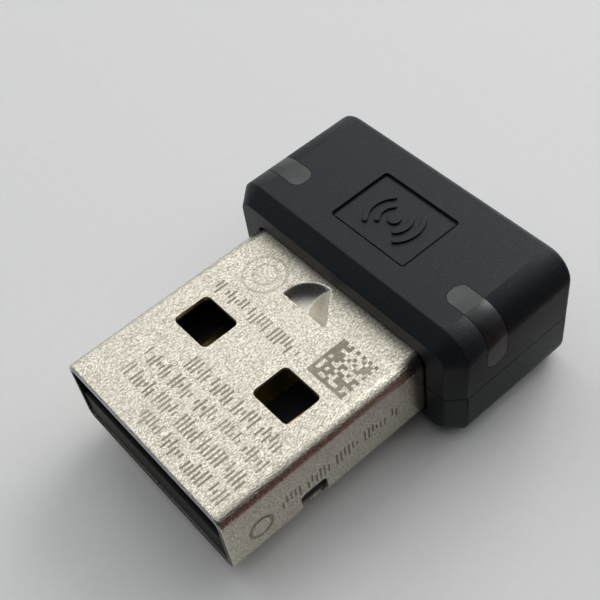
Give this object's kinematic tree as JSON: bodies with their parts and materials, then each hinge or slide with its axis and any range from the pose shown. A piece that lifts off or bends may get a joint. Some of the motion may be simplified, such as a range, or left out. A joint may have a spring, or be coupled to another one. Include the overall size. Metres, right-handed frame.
{
  "type": "usb radio adapter",
  "caption": "Miniature USB-A radio adapter: rolled steel plug on a short black two-part housing with corner-wrapping light pipes and a rear pairing key.",
  "frame": {"origin": "on the plug's axis, in the plane where the housing's front face meets the port", "axes": "+X right, +Y from the plug to the housing, +Z the side with the plug's latch windows and the badge"},
  "size_m": [0.016, 0.0202, 0.0075],
  "materials": {
    "housing_plastic": "fine spark-eroded texture, matte black",
    "key_plastic": "satin black",
    "light_pipe_smoke": "smoky translucent polycarbonate",
    "plug_steel": "brushed stainless steel, grain along the plug",
    "carrier_plastic": "moulded black, heat resistant",
    "contact_gold": "gold plated",
    "board_laminate": "green solder mask",
    "chip_epoxy": "moulded epoxy",
    "can_steel": "tinned steel sheet",
    "antenna_ceramic": "fired white ceramic",
    "capacitor_ceramic": "fired tan ceramic",
    "resistor_glaze": "black glaze",
    "status_light": "clear epoxy over a white base",
    "switch_plastic": "moulded nylon",
    "spring_steel": "polished spring steel"
  },
  "bodies": {
    "adapter": {"top_cover": "housing_plastic", "bottom_case": "housing_plastic", "light_pipe_left": "light_pipe_smoke", "light_pipe_right": "light_pipe_smoke", "plug_shell": "plug_steel", "contact_carrier": "carrier_plastic", "contact_vbus": "contact_gold", "contact_data_minus": "contact_gold", "contact_data_plus": "contact_gold", "contact_ground": "contact_gold", "main_board": "board_laminate", "radio_chip": "chip_epoxy", "memory_chip": "chip_epoxy", "clock_crystal": "can_steel", "screening_can": "can_steel", "chip_antenna": "antenna_ceramic", "radio_filter": "antenna_ceramic", "voltage_regulator": "chip_epoxy", "power_inductor": "chip_epoxy", "surge_protector": "chip_epoxy", "capacitors": "capacitor_ceramic", "resistors": "resistor_glaze", "status_light_left": "status_light", "status_light_right": "status_light", "switch_body": "switch_plastic", "switch_dome": "spring_steel"},
    "key": {"pairing_key": "key_plastic", "switch_plunger": "switch_plastic"}
  },
  "joints": [
    {"name": "pairing_key_press", "type": "slide", "parent": "adapter", "child": "key", "axis": [0, -1, 0], "range_m": [0, 0.00025], "stiffness_N_per_m": 4000, "springref_m": -0.0001, "deforming": ["switch_dome"]}
  ]
}
